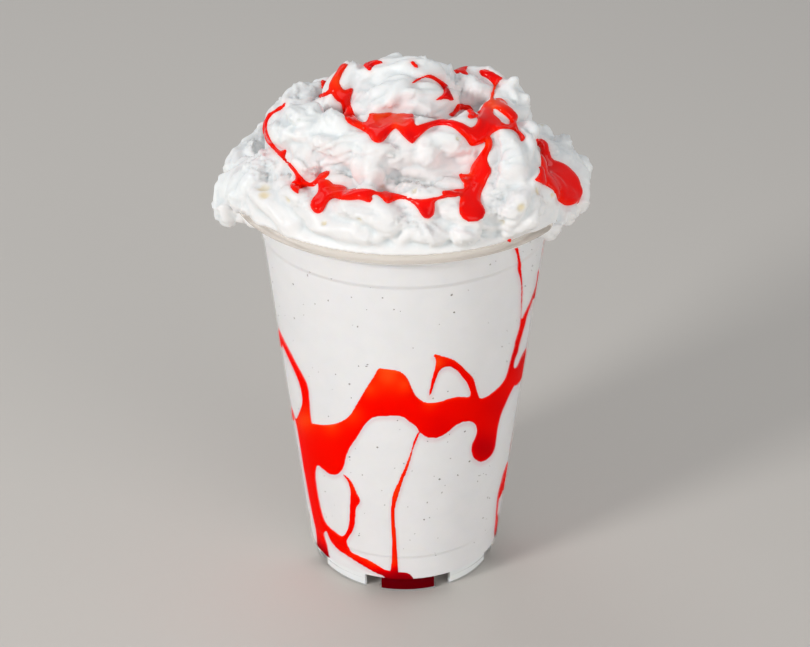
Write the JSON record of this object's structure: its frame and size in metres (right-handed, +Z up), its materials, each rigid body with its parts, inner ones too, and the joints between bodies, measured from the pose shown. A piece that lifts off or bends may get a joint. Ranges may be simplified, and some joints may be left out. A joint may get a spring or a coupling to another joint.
{
  "type": "milkshake",
  "caption": "Vanilla milkshake in a clear plastic cup with a rolled rim, red syrup down the inside wall, and a heap of whipped cream with red syrup drizzle.",
  "frame": {"origin": "centre of the cup's foot, on the surface that it stands on", "axes": "+Z up along the cup's axis, -Y towards the side with the wide band of syrup, +X to the right seen from there"},
  "size_m": [0.1068, 0.098, 0.162],
  "materials": {
    "clear_plastic": "clear glossy",
    "shake": "thick off-white drink with fine dark specks",
    "cream": "soft white whipped cream",
    "syrup": "wet glossy red syrup"
  },
  "bodies": {
    "root": {"cup": "clear_plastic", "milkshake": "shake", "whipped_cream": "cream"}
  },
  "joints": []
}
